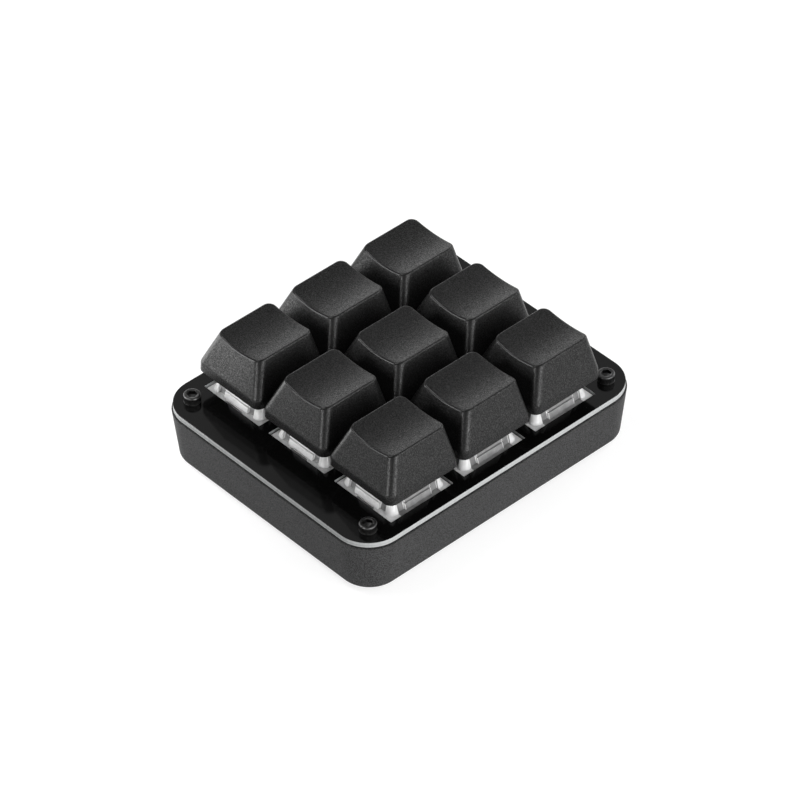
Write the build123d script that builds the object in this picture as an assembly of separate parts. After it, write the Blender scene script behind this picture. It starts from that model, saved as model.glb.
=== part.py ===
from build123d import *

import os

# Desk macro keypad: nine sprung keys under one screwed acrylic cover, in a tapered case.
# Millimetres. X runs to the user's right, Y away from the user and Z up from the desk.
# The origin lies on the desk, midway between the four feet.

# Key grid
COLUMN_NAMES = ("left", "centre", "right")
ROW_NAMES = ("front", "middle", "back")
KEY_PITCH = 19.05
KEY_TRAVEL = 4.0

# Case: a tub with drafted walls, a shelf for the switch plate and four screw bosses
CASE_SIDE_MARGIN = 2.2
CASE_END_MARGIN = 8.3
CASE_CORNER_RADIUS = 7.7
CASE_DRAFT = 1.2
CASE_FLOOR = 2.0
CASE_RIM_WALL = 1.5
CASE_SHELF = 1.5
CASE_BOTTOM_EDGE_RADIUS = 0.8
BOSS_RADIUS = 3.0
SCREW_INSET = 5.2

# Cover and switch plate
COVER_THICKNESS = 1.2
COVER_INSET = 0.3
COVER_EDGE_BEVEL = 0.15
COVER_CUTOUT_CLEARANCE = 0.35
CLAMP_GAP = 0.3
SWITCH_PLATE_THICKNESS = 1.5
SWITCH_PLATE_CLEARANCE = 0.15
SWITCH_HOLE_CLEARANCE = 0.05

# Screws and threaded inserts
SCREW_DIAMETER = 2.0
SCREW_LENGTH = 8.0
SCREW_HEAD_DIAMETER = 3.5
SCREW_HEAD_HEIGHT = 1.8
SCREW_HEAD_BEVEL = 0.2
SCREW_HEX = 1.5
SCREW_HEX_DEPTH = 0.9
SCREW_HOLE_CLEARANCE = 0.15
SCREW_END_GAP = 0.4
INSERT_WALL = 0.6
INSERT_LENGTH = 4.0
FIT_CLEARANCE = 0.02

# Rubber feet
FOOT_DIAMETER = 8.0
FOOT_THICKNESS = 1.0
FOOT_INSET = 8.5
FOOT_EDGE_BEVEL = 0.25

# Key switch housings
SWITCH_BODY = 13.9
SWITCH_SEAT_TO_BOARD = 5.0
SWITCH_WALL = 1.2
SWITCH_FLOOR = 1.2
FLANGE_OVERHANG = 0.85
FLANGE_THICKNESS = 0.8
FLANGE_NOTCH_WIDTH = 5.0
FLANGE_NOTCH_DEPTH = 0.45
SNAP_WIDTH = 4.0
SNAP_HEIGHT = 0.8
SNAP_PROUD = 0.3
SNAP_CLEARANCE = 0.05
POST_DIAMETER = 3.95
POST_LENGTH = 3.3
POST_END_WALL = 0.8
POST_CLEARANCE = 1.3
TUBE_DIAMETER = 3.4
TUBE_STOP_GAP = 0.6
TOP_SETBACK = 0.6
TOP_HEIGHT = 5.8
TOP_TAPER_X = 1.8
TOP_TAPER_Y = 1.6
TOP_CORNER_RADIUS = 1.6
TOP_CEILING = 1.0
TOP_WINDOW_DEPTH = 0.5
TOP_PANEL_WIDTH = 6.8
TOP_COLUMN_WIDTH = 2.0
TOP_GROOVE_HEIGHT = 1.3
TOP_GROOVE_WIDTH = 0.3
SPIGOT_HEIGHT = 0.6
SPIGOT_WALL = 0.6
SPIGOT_CLEARANCE = 0.05

# Stem and spring
STEM_WIDTH = 7.2
STEM_DEPTH = 5.6
STEM_SHOULDER = 0.7
STEM_SHOULDER_GAP = 0.1
STEM_SKIRT = 4.0
STEM_RUNNING_GAP = 0.15
STEM_POLE_DIAMETER = 2.2
STEM_POLE_GAP = 0.08
STEM_STOP_GAP = 0.2
CROSS_LENGTH = 4.1
CROSS_BAR = 1.2
CROSS_HEIGHT = 3.6
SPRING_INNER_DIAMETER = 3.6
SPRING_WIRE = 0.4
SPRING_SEAT_GAP = 0.15
SPRING_POCKET = 2.5

# Contact leaves
LEAF_THICKNESS = 0.25
LEAF_TOP_GAP = 0.3
PIN_WIDTH = 0.8
PIN_SLOT_CLEARANCE = 0.05
PIN_BOARD_CLEARANCE = 0.2
FIXED_PIN_X = 2.54
FIXED_PIN_Y = 5.08
FIXED_LEAF_WIDTH = 2.4
MOVING_PIN_X = -3.81
MOVING_PIN_Y = 2.54
MOVING_LEAF_X = -5.0
MOVING_LEAF_Y = 4.45
MOVING_LEAF_REACH = 4.4
MOVING_LEAF_STEM_GAP = 0.3

# Keycap
KEYCAP_GAP = 0.95
KEYCAP_COVER_GAP = 0.7
KEYCAP_HEIGHT = 9.2
KEYCAP_SKIRT = 2.0
KEYCAP_SKIRT_DRAFT = 0.1
KEYCAP_SIDE_INSET = 2.65
KEYCAP_FRONT_INSET = 3.2
KEYCAP_BACK_INSET = 0.85
KEYCAP_CORNER_RADIUS = 1.4
KEYCAP_DISH_RADIUS = 26.0
KEYCAP_EDGE_RADIUS = 0.4
KEYCAP_WALL = 1.3
KEYCAP_ROOF = 1.3
KEYCAP_POST_DIAMETER = 5.5
KEYCAP_POST_GAP = 0.2

# Circuit board, controller and USB socket
BOARD_THICKNESS = 1.6
BOARD_CLEARANCE = 0.4
BOARD_CORNER_RADIUS = 1.0
BOARD_TAB_WIDTH = 20.0
POST_HOLE_CLEARANCE = 0.1
CONTROLLER_SIZE = 7.0
CONTROLLER_HEIGHT = 0.9
CONTROLLER_KEY_BEVEL = 0.7
USB_WIDTH = 8.94
USB_HEIGHT = 3.26
USB_LENGTH = 7.35
USB_WALL = 0.3
USB_RECESS = 0.3
USB_OPENING_CLEARANCE = 0.2
TONGUE_WIDTH = 6.7
TONGUE_THICKNESS = 0.7
TONGUE_SETBACK = 0.9
TONGUE_BLOCK = 1.8

# Levels above the desk, worked up from the feet
floor_top = FOOT_THICKNESS + CASE_FLOOR
board_top = floor_top + POST_CLEARANCE + POST_LENGTH
board_bottom = board_top - BOARD_THICKNESS
seat = board_top + SWITCH_SEAT_TO_BOARD
plate_bottom = seat - SWITCH_PLATE_THICKNESS
rim = seat - CLAMP_GAP
cover_top = seat + COVER_THICKNESS
flange_top = seat + FLANGE_THICKNESS
housing_top = flange_top + TOP_HEIGHT
ceiling_bottom = housing_top - TOP_CEILING
switch_floor_top = board_top + SWITCH_FLOOR
post_bottom = board_top - POST_LENGTH
shoulder_top = ceiling_bottom - STEM_SHOULDER_GAP
skirt_bottom = shoulder_top - STEM_SKIRT
spring_top = skirt_bottom + SPRING_POCKET
tube_top = spring_top - KEY_TRAVEL - TUBE_STOP_GAP
pole_hole_bottom = post_bottom + POST_END_WALL
stem_pole_bottom = pole_hole_bottom + STEM_STOP_GAP + KEY_TRAVEL
cross_top = housing_top + CROSS_HEIGHT
keycap_rim = cover_top + KEY_TRAVEL + KEYCAP_COVER_GAP
leaf_top = seat - LEAF_TOP_GAP
moving_leaf_top = skirt_bottom - KEY_TRAVEL - MOVING_LEAF_STEM_GAP
bore_bottom = cover_top - SCREW_LENGTH - SCREW_END_GAP

# Plan sizes that follow from the grid
middle_column = (len(COLUMN_NAMES) - 1) / 2
middle_row = (len(ROW_NAMES) - 1) / 2
case_width = len(COLUMN_NAMES) * KEY_PITCH + 2 * CASE_SIDE_MARGIN
case_depth = len(ROW_NAMES) * KEY_PITCH + 2 * CASE_END_MARGIN
recess_width = case_width - 2 * CASE_RIM_WALL
recess_depth = case_depth - 2 * CASE_RIM_WALL
cavity_width = recess_width - 2 * CASE_SHELF
cavity_depth = recess_depth - 2 * CASE_SHELF
screw_x = case_width / 2 - SCREW_INSET
screw_y = case_depth / 2 - SCREW_INSET
screw_hole_diameter = SCREW_DIAMETER + 2 * SCREW_HOLE_CLEARANCE
insert_diameter = SCREW_DIAMETER + 2 * INSERT_WALL
foot_x = case_width / 2 - FOOT_INSET
foot_y = case_depth / 2 - FOOT_INSET
flange_size = SWITCH_BODY + 2 * FLANGE_OVERHANG
cutout_size = flange_size + 2 * COVER_CUTOUT_CLEARANCE
switch_hole = SWITCH_BODY + 2 * SWITCH_HOLE_CLEARANCE
switch_inside = SWITCH_BODY - 2 * SWITCH_WALL
keycap_base = KEY_PITCH - KEYCAP_GAP
board_width = cavity_width - 2 * BOARD_CLEARANCE
board_depth = 2 * (screw_y - BOSS_RADIUS - BOARD_CLEARANCE)
usb_centre_height = board_top + USB_HEIGHT / 2
rear_wall_lean = CASE_DRAFT * (rim - usb_centre_height) / (rim - FOOT_THICKNESS)
usb_mouth = case_depth / 2 - rear_wall_lean - USB_RECESS

corners = [(x, y) for x in (-screw_x, screw_x) for y in (-screw_y, screw_y)]
foot_places = [(x, y) for x in (-foot_x, foot_x) for y in (-foot_y, foot_y)]
key_places = [
    (f"{row}_{column}", (i - middle_column) * KEY_PITCH, (j - middle_row) * KEY_PITCH)
    for j, row in enumerate(ROW_NAMES)
    for i, column in enumerate(COLUMN_NAMES)
]
key_centres = [(x, y) for _, x, y in key_places]


def slab(width, depth, radius, bottom, top):
    """A flat plate with round corners between two levels."""
    return extrude(Pos(0, 0, bottom) * RectangleRounded(width, depth, radius), amount=top - bottom)


def square_slab(width, depth, bottom, top):
    """A flat plate with sharp corners between two levels."""
    return extrude(Pos(0, 0, bottom) * Rectangle(width, depth), amount=top - bottom)


def rod(diameter, bottom, top):
    """An upright round bar between two levels."""
    return extrude(Pos(0, 0, bottom) * Circle(diameter / 2), amount=top - bottom)


def block(x_range, y_range, z_range):
    """A box from its limits on each axis."""
    lows, highs = zip(x_range, y_range, z_range)
    sizes = [high - low for low, high in zip(lows, highs)]
    return Pos(*lows) * Box(*sizes, align=(Align.MIN, Align.MIN, Align.MIN))


def at_places(shape, places):
    """Copies of one shape at a list of plan positions."""
    return [Pos(x, y, 0) * shape for x, y in places]


def pin_slots(clearance, bottom, top):
    """Room for the two flat contact pins of one switch, between two levels."""
    width = PIN_WIDTH + 2 * clearance
    depth = LEAF_THICKNESS + 2 * clearance
    slot = square_slab(width, depth, bottom, top)
    return at_places(slot, [(FIXED_PIN_X, FIXED_PIN_Y), (MOVING_PIN_X, MOVING_PIN_Y)])


def crossed_profiles(front_profile, side_profile):
    """The solid that shows one outline from the front and another from the right."""
    from_front = extrude(Plane.XZ * front_profile, amount=KEY_PITCH, both=True)
    from_side = extrude(Plane.YZ * side_profile, amount=KEY_PITCH, both=True)
    return from_front & from_side


def leaning_edges(solid):
    """The edges that climb from one level of a solid to another."""
    return solid.edges().filter_by(lambda edge: abs(edge.tangent_at(0.5).Z) > 0.5)


def along_depth(sketch, start, length):
    """A profile drawn in X and Z, carried towards the user from a start on Y."""
    return Pos(0, start, usb_centre_height) * Rot(90, 0, 0) * extrude(sketch, amount=length)


def make_case():
    """The tub: drafted walls, a plate shelf, screw bosses and the USB opening."""
    draft_angle = Vector(0, 0, 1).get_angle(Vector(CASE_DRAFT, 0, rim - FOOT_THICKNESS))
    outline = Pos(0, 0, rim) * RectangleRounded(case_width, case_depth, CASE_CORNER_RADIUS)
    tub = extrude(outline, amount=FOOT_THICKNESS - rim, taper=draft_angle)
    tub = fillet(tub.faces().sort_by(Axis.Z)[0].edges(), CASE_BOTTOM_EDGE_RADIUS)
    recess_radius = CASE_CORNER_RADIUS - CASE_RIM_WALL
    tub -= slab(recess_width, recess_depth, recess_radius, plate_bottom, rim)
    tub -= slab(cavity_width, cavity_depth, recess_radius - CASE_SHELF, floor_top, plate_bottom)
    tub += at_places(rod(2 * BOSS_RADIUS, floor_top, plate_bottom), corners)
    bore = rod(insert_diameter + 2 * FIT_CLEARANCE, bore_bottom, plate_bottom)
    tub -= at_places(bore, corners)
    gap = 2 * USB_OPENING_CLEARANCE
    opening = SlotOverall(USB_WIDTH + gap, USB_HEIGHT + gap)
    return tub - along_depth(opening, case_depth / 2, (case_depth - cavity_depth) / 2)


def make_cover():
    """Clear sheet with bevelled edges, one square opening for each switch and four screw holes."""
    sheet = slab(
        case_width - 2 * COVER_INSET,
        case_depth - 2 * COVER_INSET,
        CASE_CORNER_RADIUS - COVER_INSET,
        seat,
        cover_top,
    )
    flat_faces = sheet.faces().filter_by(Plane.XY)
    sheet = chamfer(flat_faces.edges(), COVER_EDGE_BEVEL)
    sheet -= at_places(square_slab(cutout_size, cutout_size, seat, cover_top), key_centres)
    return sheet - at_places(rod(screw_hole_diameter, seat, cover_top), corners)


def make_switch_plate():
    """Sheet metal plate on the case's shelf. The switches snap into its square holes."""
    plate = slab(
        recess_width - 2 * SWITCH_PLATE_CLEARANCE,
        recess_depth - 2 * SWITCH_PLATE_CLEARANCE,
        CASE_CORNER_RADIUS - CASE_RIM_WALL - SWITCH_PLATE_CLEARANCE,
        plate_bottom,
        seat,
    )
    plate -= at_places(square_slab(switch_hole, switch_hole, plate_bottom, seat), key_centres)
    return plate - at_places(rod(screw_hole_diameter, plate_bottom, seat), corners)


def make_corner_screw():
    """Socket head cap screw: bevelled head on the cover, plain shank down into the insert."""
    head_top = cover_top + SCREW_HEAD_HEIGHT
    head = rod(SCREW_HEAD_DIAMETER, cover_top, head_top)
    head = chamfer(head.faces().sort_by(Axis.Z)[-1].edges(), SCREW_HEAD_BEVEL)
    hexagon = RegularPolygon(SCREW_HEX / 2, 6, major_radius=False)
    head -= extrude(Pos(0, 0, head_top) * hexagon, amount=-SCREW_HEX_DEPTH)
    return head + rod(SCREW_DIAMETER, cover_top - SCREW_LENGTH, cover_top)


def make_threaded_insert():
    """Brass sleeve in a case boss."""
    insert_bottom = plate_bottom - INSERT_LENGTH
    sleeve = rod(insert_diameter, insert_bottom, plate_bottom)
    return sleeve - rod(SCREW_DIAMETER + 2 * FIT_CLEARANCE, insert_bottom, plate_bottom)


def make_rubber_foot():
    """Round foot stuck under the case, bevelled where it meets the desk."""
    foot = rod(FOOT_DIAMETER, 0, FOOT_THICKNESS)
    return chamfer(foot.faces().sort_by(Axis.Z)[0].edges(), FOOT_EDGE_BEVEL)


def make_circuit_board():
    """Board under the switches, with a rear tab for the USB socket."""
    board = slab(board_width, board_depth, BOARD_CORNER_RADIUS, board_bottom, board_top)
    tab_end = cavity_depth / 2 - BOARD_CLEARANCE
    half_tab = BOARD_TAB_WIDTH / 2
    board += block((-half_tab, half_tab), (0, tab_end), (board_bottom, board_top))
    board -= at_places(rod(POST_DIAMETER + 2 * POST_HOLE_CLEARANCE, board_bottom, board_top), key_centres)
    for slot in pin_slots(PIN_BOARD_CLEARANCE, board_bottom, board_top):
        board -= at_places(slot, key_centres)
    return board


def make_microcontroller():
    """Flat chip under the board, between four switches, with one corner cut to mark its first lead."""
    half = CONTROLLER_SIZE / 2
    chip = block((-half, half), (-half, half), (board_bottom - CONTROLLER_HEIGHT, board_bottom))
    chip = chamfer(chip.edges().filter_by(Axis.Z).sort_by(Axis.X)[0], CONTROLLER_KEY_BEVEL)
    return Pos(KEY_PITCH / 2, KEY_PITCH / 2, 0) * chip


def make_usb_shell():
    """Drawn steel shell of the USB-C socket, open at both ends."""
    inside = SlotOverall(USB_WIDTH - 2 * USB_WALL, USB_HEIGHT - 2 * USB_WALL)
    return along_depth(SlotOverall(USB_WIDTH, USB_HEIGHT) - inside, usb_mouth, USB_LENGTH)


def make_usb_tongue():
    """Plastic insert of the USB-C socket: a block that closes the shell, and its contact tongue."""
    wall = USB_WALL + FIT_CLEARANCE
    closing = SlotOverall(USB_WIDTH - 2 * wall, USB_HEIGHT - 2 * wall)
    insert = along_depth(closing, usb_mouth - USB_LENGTH + TONGUE_BLOCK, TONGUE_BLOCK)
    tongue = Rectangle(TONGUE_WIDTH, TONGUE_THICKNESS)
    return insert + along_depth(tongue, usb_mouth - TONGUE_SETBACK, USB_LENGTH - TONGUE_SETBACK)


def make_housing_base():
    """Lower switch housing: a tub with a plate flange, snaps, a spring tube and a locating post."""
    base = square_slab(SWITCH_BODY, SWITCH_BODY, board_top, seat)
    base += square_slab(flange_size, flange_size, seat, flange_top)
    half_notch = FLANGE_NOTCH_WIDTH / 2
    flange_edge = flange_size / 2
    notch_range = (flange_edge - FLANGE_NOTCH_DEPTH, flange_edge)
    notch = block((-half_notch, half_notch), notch_range, (seat, flange_top))
    base -= [notch, Rot(0, 0, 180) * notch]
    snap_top = plate_bottom - SNAP_CLEARANCE
    snap_outline = Polyline(
        (SWITCH_BODY / 2, snap_top),
        (SWITCH_BODY / 2 + SNAP_PROUD, snap_top),
        (SWITCH_BODY / 2, snap_top - SNAP_HEIGHT),
        close=True,
    )
    snap = extrude(Rot(90, 0, 0) * make_face(snap_outline), amount=SNAP_WIDTH / 2, both=True)
    base += [snap, Rot(0, 0, 180) * snap]
    base -= square_slab(switch_inside, switch_inside, switch_floor_top, flange_top)
    base += rod(TUBE_DIAMETER, switch_floor_top, tube_top)
    base += rod(POST_DIAMETER, post_bottom, board_top)
    base -= rod(STEM_POLE_DIAMETER + 2 * STEM_POLE_GAP, pole_hole_bottom, tube_top)
    return base - pin_slots(PIN_SLOT_CLEARANCE, board_top, switch_floor_top)


def trapezoid(bottom_width, top_width, bottom, top):
    """An upright outline that narrows evenly between two levels."""
    return Polygon(
        (-bottom_width / 2, bottom),
        (bottom_width / 2, bottom),
        (top_width / 2, top),
        (-top_width / 2, top),
        align=None,
    )


def housing_frustum(setback):
    """The upper housing's tapered form, drawn in all round by a setback."""
    foot = flange_size - 2 * (TOP_SETBACK + setback)
    front_profile = trapezoid(foot, foot - 2 * TOP_TAPER_X, flange_top, housing_top)
    side_profile = trapezoid(foot, foot - 2 * TOP_TAPER_Y, flange_top, housing_top)
    return crossed_profiles(front_profile, side_profile)


def make_housing_top():
    """Upper switch housing: a tapered hood with round corner columns, a raised panel on each side,
    windows between them, a spigot into the lower housing and an opening for the stem."""
    full = housing_frustum(0)
    full = fillet(leaning_edges(full), TOP_CORNER_RADIUS)
    reach = flange_size / 2
    half_panel = TOP_PANEL_WIDTH / 2
    groove = flange_top + TOP_GROOVE_HEIGHT
    raised = []
    for levels in ((flange_top, groove), (groove + TOP_GROOVE_WIDTH, housing_top)):
        raised.append(block((-half_panel, half_panel), (-reach, reach), levels))
        raised.append(block((-reach, reach), (-half_panel, half_panel), levels))
    column_start = reach - TOP_SETBACK - TOP_COLUMN_WIDTH
    column = block((column_start, reach), (column_start, reach), (flange_top, housing_top))
    raised += [Rot(0, 0, 90 * turn) * column for turn in range(4)]
    hood = fillet(leaning_edges(housing_frustum(TOP_WINDOW_DEPTH)), TOP_CORNER_RADIUS - TOP_WINDOW_DEPTH)
    hood += [full & region for region in raised]
    spigot_size = switch_inside - 2 * SPIGOT_CLEARANCE
    spigot_inside = spigot_size - 2 * SPIGOT_WALL
    spigot_bottom = flange_top - SPIGOT_HEIGHT
    hood += square_slab(spigot_size, spigot_size, spigot_bottom, flange_top)
    hood -= square_slab(spigot_inside, spigot_inside, spigot_bottom, flange_top)
    stem_room_x = STEM_WIDTH + 2 * STEM_SHOULDER + 2 * STEM_RUNNING_GAP
    stem_room_y = STEM_DEPTH + 2 * STEM_SHOULDER + 2 * STEM_RUNNING_GAP
    hood -= crossed_profiles(
        trapezoid(spigot_inside, stem_room_x, flange_top, ceiling_bottom),
        trapezoid(spigot_inside, stem_room_y, flange_top, ceiling_bottom),
    )
    opening_x = STEM_WIDTH + 2 * STEM_RUNNING_GAP
    opening_y = STEM_DEPTH + 2 * STEM_RUNNING_GAP
    return hood - square_slab(opening_x, opening_y, ceiling_bottom, housing_top)


def cross_outline(growth):
    """The plus sign of the stem's top, grown all round."""
    length = CROSS_LENGTH + 2 * growth
    bar = CROSS_BAR + 2 * growth
    return Rectangle(length, bar) + Rectangle(bar, length)


def make_stem():
    """Sliding stem: cross for the keycap, block through the housing, stop shoulder and guide pole."""
    stem = extrude(Pos(0, 0, housing_top) * cross_outline(0), amount=CROSS_HEIGHT)
    stem += square_slab(STEM_WIDTH, STEM_DEPTH, shoulder_top, housing_top)
    shoulder_width = STEM_WIDTH + 2 * STEM_SHOULDER
    shoulder_depth = STEM_DEPTH + 2 * STEM_SHOULDER
    stem += square_slab(shoulder_width, shoulder_depth, skirt_bottom, shoulder_top)
    pocket = SPRING_INNER_DIAMETER + 2 * SPRING_WIRE + 2 * SPRING_SEAT_GAP
    stem -= rod(pocket, skirt_bottom, spring_top)
    return stem + rod(STEM_POLE_DIAMETER, stem_pole_bottom, spring_top)


def make_spring():
    """Return spring, drawn as the sleeve that its coils fill, from the housing floor to the stem."""
    outer = SPRING_INNER_DIAMETER + 2 * SPRING_WIRE
    sleeve = rod(outer, switch_floor_top, spring_top)
    return sleeve - rod(SPRING_INNER_DIAMETER, switch_floor_top, spring_top)


def make_fixed_contact():
    """Flat contact leaf with its pin through the switch floor and the board."""
    half_leaf = FIXED_LEAF_WIDTH / 2
    half_pin = PIN_WIDTH / 2
    half_sheet = LEAF_THICKNESS / 2
    y_range = (FIXED_PIN_Y - half_sheet, FIXED_PIN_Y + half_sheet)
    leaf = block((FIXED_PIN_X - half_leaf, FIXED_PIN_X + half_leaf), y_range, (switch_floor_top, leaf_top))
    pin_range = (FIXED_PIN_X - half_pin, FIXED_PIN_X + half_pin)
    return leaf + block(pin_range, y_range, (post_bottom, switch_floor_top))


def make_moving_contact():
    """Sprung contact leaf, bent round the stem from its pin to the fixed leaf."""
    route = Polyline(
        (MOVING_PIN_X + PIN_WIDTH / 2, MOVING_PIN_Y),
        (MOVING_LEAF_X, MOVING_PIN_Y),
        (MOVING_LEAF_X, MOVING_LEAF_Y),
        (MOVING_LEAF_REACH, MOVING_LEAF_Y),
    )
    strip = trace(route, LEAF_THICKNESS)
    leaf = extrude(Pos(0, 0, switch_floor_top) * strip, amount=moving_leaf_top - switch_floor_top)
    half_sheet = LEAF_THICKNESS / 2
    half_pin = PIN_WIDTH / 2
    return leaf + block(
        (MOVING_PIN_X - half_pin, MOVING_PIN_X + half_pin),
        (MOVING_PIN_Y - half_sheet, MOVING_PIN_Y + half_sheet),
        (post_bottom, switch_floor_top),
    )


def keycap_profile(near_inset, far_inset, wall, top, arc_drop):
    """The keycap's outline from one side: an upright skirt and leaning walls up to a level.
    Each inset is how far a wall leans in by the cap's full height. The top sags by an arc's drop."""
    lean = (top - KEYCAP_SKIRT) / (KEYCAP_HEIGHT - KEYCAP_SKIRT)
    half = keycap_base / 2 - wall
    kink = half - KEYCAP_SKIRT_DRAFT
    kink_level = keycap_rim + KEYCAP_SKIRT
    top_level = keycap_rim + top
    near_top = (-kink + near_inset * lean, top_level)
    far_top = (kink - far_inset * lean, top_level)
    sides = Polyline(
        near_top,
        (-kink, kink_level),
        (-half, keycap_rim),
        (half, keycap_rim),
        (kink, kink_level),
        far_top,
    )
    if arc_drop:
        crown = ThreePointArc(far_top, ((near_top[0] + far_top[0]) / 2, top_level - arc_drop), near_top)
    else:
        crown = Line(far_top, near_top)
    return make_face((sides + crown).edges())


def make_keycap():
    """Hollow keycap: upright skirt, leaning walls, a dished top and a cross socket on its post."""
    half_top = keycap_base / 2 - KEYCAP_SKIRT_DRAFT - KEYCAP_SIDE_INSET
    sag = KEYCAP_DISH_RADIUS - (KEYCAP_DISH_RADIUS**2 - half_top**2) ** 0.5
    ceiling = KEYCAP_HEIGHT - sag - KEYCAP_ROOF
    cap = crossed_profiles(
        keycap_profile(KEYCAP_SIDE_INSET, KEYCAP_SIDE_INSET, 0, KEYCAP_HEIGHT, sag),
        keycap_profile(KEYCAP_FRONT_INSET, KEYCAP_BACK_INSET, 0, KEYCAP_HEIGHT, 0),
    )
    cap = fillet(leaning_edges(cap), KEYCAP_CORNER_RADIUS)
    cap = fillet(cap.faces().sort_by(Axis.Z)[-1].edges(), KEYCAP_EDGE_RADIUS)
    cap -= crossed_profiles(
        keycap_profile(KEYCAP_SIDE_INSET, KEYCAP_SIDE_INSET, KEYCAP_WALL, ceiling, 0),
        keycap_profile(KEYCAP_FRONT_INSET, KEYCAP_BACK_INSET, KEYCAP_WALL, ceiling, 0),
    )
    post_start = housing_top + KEYCAP_POST_GAP
    cap += rod(KEYCAP_POST_DIAMETER, post_start, keycap_rim + ceiling)
    socket = extrude(Pos(0, 0, post_start) * cross_outline(FIT_CLEARANCE), amount=cross_top - post_start)
    return cap - socket


nodes = {
    "case": make_case(),
    "cover": make_cover(),
    "switch_plate": make_switch_plate(),
    "corner_screws": Compound(at_places(make_corner_screw(), corners)),
    "threaded_inserts": Compound(at_places(make_threaded_insert(), corners)),
    "rubber_feet": Compound(at_places(make_rubber_foot(), foot_places)),
    "circuit_board": make_circuit_board(),
    "microcontroller": make_microcontroller(),
    "usb_shell": make_usb_shell(),
    "usb_tongue": make_usb_tongue(),
    "fixed_contacts": Compound(at_places(make_fixed_contact(), key_centres)),
    "moving_contacts": Compound(at_places(make_moving_contact(), key_centres)),
}
key_pieces = {
    "keycap": make_keycap(),
    "stem": make_stem(),
    "spring": make_spring(),
    "housing_top": make_housing_top(),
    "housing_base": make_housing_base(),
}
for key_name, x, y in key_places:
    for piece_name, piece in key_pieces.items():
        nodes[f"{piece_name}_{key_name}"] = Pos(x, y, 0) * piece

os.makedirs("parts", exist_ok=True)
for node_name, shape in nodes.items():
    shape.label = node_name
    export_step(shape, f"parts/{node_name}.step")
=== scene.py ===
import math

import bmesh
import bpy
import numpy as np
from mathutils import Matrix, Vector


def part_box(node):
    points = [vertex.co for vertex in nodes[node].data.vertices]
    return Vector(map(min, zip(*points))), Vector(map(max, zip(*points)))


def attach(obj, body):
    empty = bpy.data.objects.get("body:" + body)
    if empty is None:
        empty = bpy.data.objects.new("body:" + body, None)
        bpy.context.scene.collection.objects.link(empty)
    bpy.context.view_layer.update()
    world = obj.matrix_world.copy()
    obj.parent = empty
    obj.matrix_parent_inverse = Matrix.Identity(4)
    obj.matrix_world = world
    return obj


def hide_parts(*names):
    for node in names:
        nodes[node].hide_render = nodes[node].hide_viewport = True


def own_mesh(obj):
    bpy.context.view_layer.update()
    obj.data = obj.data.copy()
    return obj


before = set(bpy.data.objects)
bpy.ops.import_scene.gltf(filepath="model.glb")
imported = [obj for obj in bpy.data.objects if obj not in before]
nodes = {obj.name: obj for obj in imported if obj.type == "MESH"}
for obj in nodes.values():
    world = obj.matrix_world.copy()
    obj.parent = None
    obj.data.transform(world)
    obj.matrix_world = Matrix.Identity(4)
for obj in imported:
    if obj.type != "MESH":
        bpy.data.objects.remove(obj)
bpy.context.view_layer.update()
key_names = [name.removeprefix("keycap_") for name in nodes if name.startswith("keycap_")]


# Case: a tub moulded in dark plastic with a spark-eroded grain. Its walls lean in towards the desk,
# a shelf inside the rim carries the switch plate, and a slot in its back wall shows the USB socket.
case_corner_radius = 0.0077
case_draft = 0.0012
case_bottom_round = 0.0008
case_rim_round = 0.00006
case_rim_wall = 0.0015
case_shelf = 0.0015
case_floor = 0.002
boss_radius = 0.003
boss_bore_radius = 0.00162
boss_bore_bottom = 0.0054
insert_radius = 0.0016
usb_slot_clearance = 0.0002
usb_slot_end_flat = 0.000001
corner_steps = 20
round_steps = 6
bore_steps = 48
slot_corner_steps = 16


def loop_plan(corner_steps, side_steps):
    """How the points of a rounded rectangle lie: each is a corner's angle, or a share of the way
    from that corner's end to the next corner's start."""
    entries = []
    for corner in range(4):
        start = 90 * corner - 90
        for step in range(corner_steps + 1):
            angle = start + 90 * step / corner_steps
            entries.append((corner, angle, corner, 0))
        for step in range(1, side_steps):
            entries.append((corner, start + 90, (corner + 1) % 4, step / side_steps))
    return np.array(entries).T


def loop_points(plan, low, high, radius, height):
    """The points themselves, anticlockwise from the front right corner, between two plan corners.
    Each limit is one number, or a number for each point."""
    first, angle, second, share = plan
    turn = np.radians(angle)

    def corner_point(corner):
        middle_x = np.where(corner < 2, high[0] - radius, low[0] + radius)
        middle_y = np.where((corner == 1) | (corner == 2), high[1] - radius, low[1] + radius)
        return np.stack([middle_x + radius * np.cos(turn), middle_y + radius * np.sin(turn)], -1)

    plan_points = corner_point(first) * (1 - share[:, None]) + corner_point(second) * share[:, None]
    heights = np.broadcast_to(height, share.shape)
    return np.column_stack([plan_points, heights])


def quarter_turn(steps):
    """Sines and cosines along a quarter turn, for a rounded edge."""
    turns = [math.pi / 2 * step / steps for step in range(steps + 1)]
    return [(math.sin(turn), math.cos(turn)) for turn in turns]


def skin(mesh, rings):
    """Quads between rings of equally many points, with the first and the last ring filled."""
    rows = [[mesh.verts.new(point) for point in ring] for ring in rings]
    for lower, upper in zip(rows, rows[1:]):
        for i in range(len(lower)):
            mesh.faces.new((lower[i - 1], lower[i], upper[i], upper[i - 1]))
    mesh.faces.new(rows[0][::-1])
    mesh.faces.new(rows[-1])


def turned(mesh, profile, centre, steps, shape=None):
    """A turned form: rings of a profile's radii and heights about an upright axis."""
    angles = np.linspace(0, 2 * math.pi, steps, endpoint=False)
    rings = []
    for row, (radius, height) in enumerate(profile):
        radii = shape(row, radius, angles) if shape else np.full(steps, radius)
        x = centre[0] + radii * np.cos(angles)
        y = centre[1] + radii * np.sin(angles)
        rings.append(np.column_stack([x, y, np.full(steps, height)]))
    skin(mesh, rings)


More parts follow.
